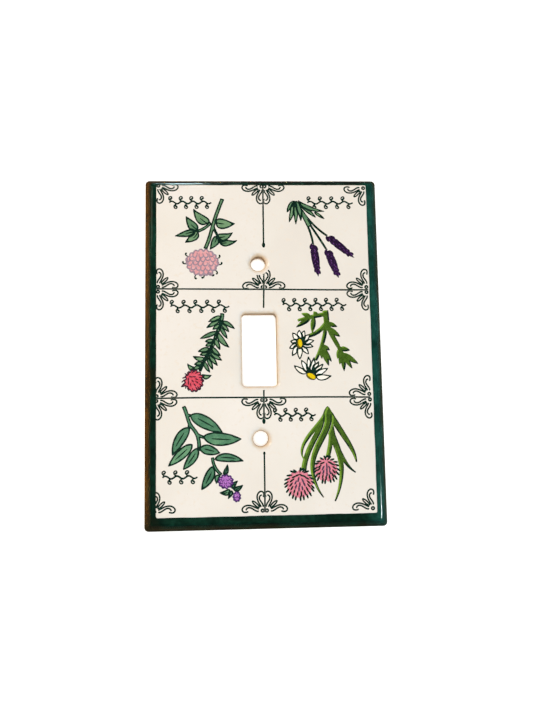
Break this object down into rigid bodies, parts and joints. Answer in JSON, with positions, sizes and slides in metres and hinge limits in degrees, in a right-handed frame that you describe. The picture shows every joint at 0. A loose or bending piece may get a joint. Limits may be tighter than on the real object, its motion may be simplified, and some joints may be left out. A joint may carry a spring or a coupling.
{
  "type": "wall plate cover",
  "caption": "Ceramic single-gang cover plate for a toggle switch, with a bevelled green border, ivory face and painted herb sprigs.",
  "frame": {"origin": "centre of the plate's outline on the wall plane (the bottom of the box, with the plate on its back)", "axes": "+Z out of the face, away from the wall; +Y up and +X right as the plate hangs on the wall"},
  "size_m": [0.0822, 0.1218, 0.0071],
  "materials": {
    "bisque_clay": "matt fired clay, tan, thinly glazed inside the openings",
    "ivory_glaze": "gloss",
    "green_glaze": "gloss, breaking to brown at the edges",
    "ink_enamel": "dark green-black brushed enamel",
    "sage_enamel": "brushed enamel",
    "basil_enamel": "brushed enamel",
    "olive_enamel": "brushed enamel",
    "pink_enamel": "brushed enamel",
    "rose_enamel": "brushed enamel",
    "pale_pink_enamel": "brushed enamel",
    "lilac_enamel": "brushed enamel",
    "violet_enamel": "brushed enamel",
    "white_enamel": "brushed enamel",
    "yellow_enamel": "brushed enamel"
  },
  "bodies": {
    "root": {"clay_body": "bisque_clay", "ivory_face_glaze": "ivory_glaze", "green_rim_glaze": "green_glaze", "ink_grid_lines": "ink_enamel", "ink_corner_scrolls": "ink_enamel", "pen_flourishes": "ink_enamel", "chives_blades": "olive_enamel", "chives_blossoms": "pink_enamel", "basil_stem": "basil_enamel", "basil_leaves": "basil_enamel", "basil_blossoms": "lilac_enamel", "chamomile_leaves": "olive_enamel", "chamomile_petals": "white_enamel", "chamomile_centres": "yellow_enamel", "rosemary_stem": "basil_enamel", "rosemary_needles": "basil_enamel", "rosemary_blossom": "rose_enamel", "lavender_stems": "sage_enamel", "lavender_leaves": "sage_enamel", "lavender_spikes": "violet_enamel", "thyme_stem": "sage_enamel", "thyme_leaves": "sage_enamel", "thyme_blossom": "pale_pink_enamel"}
  },
  "joints": []
}
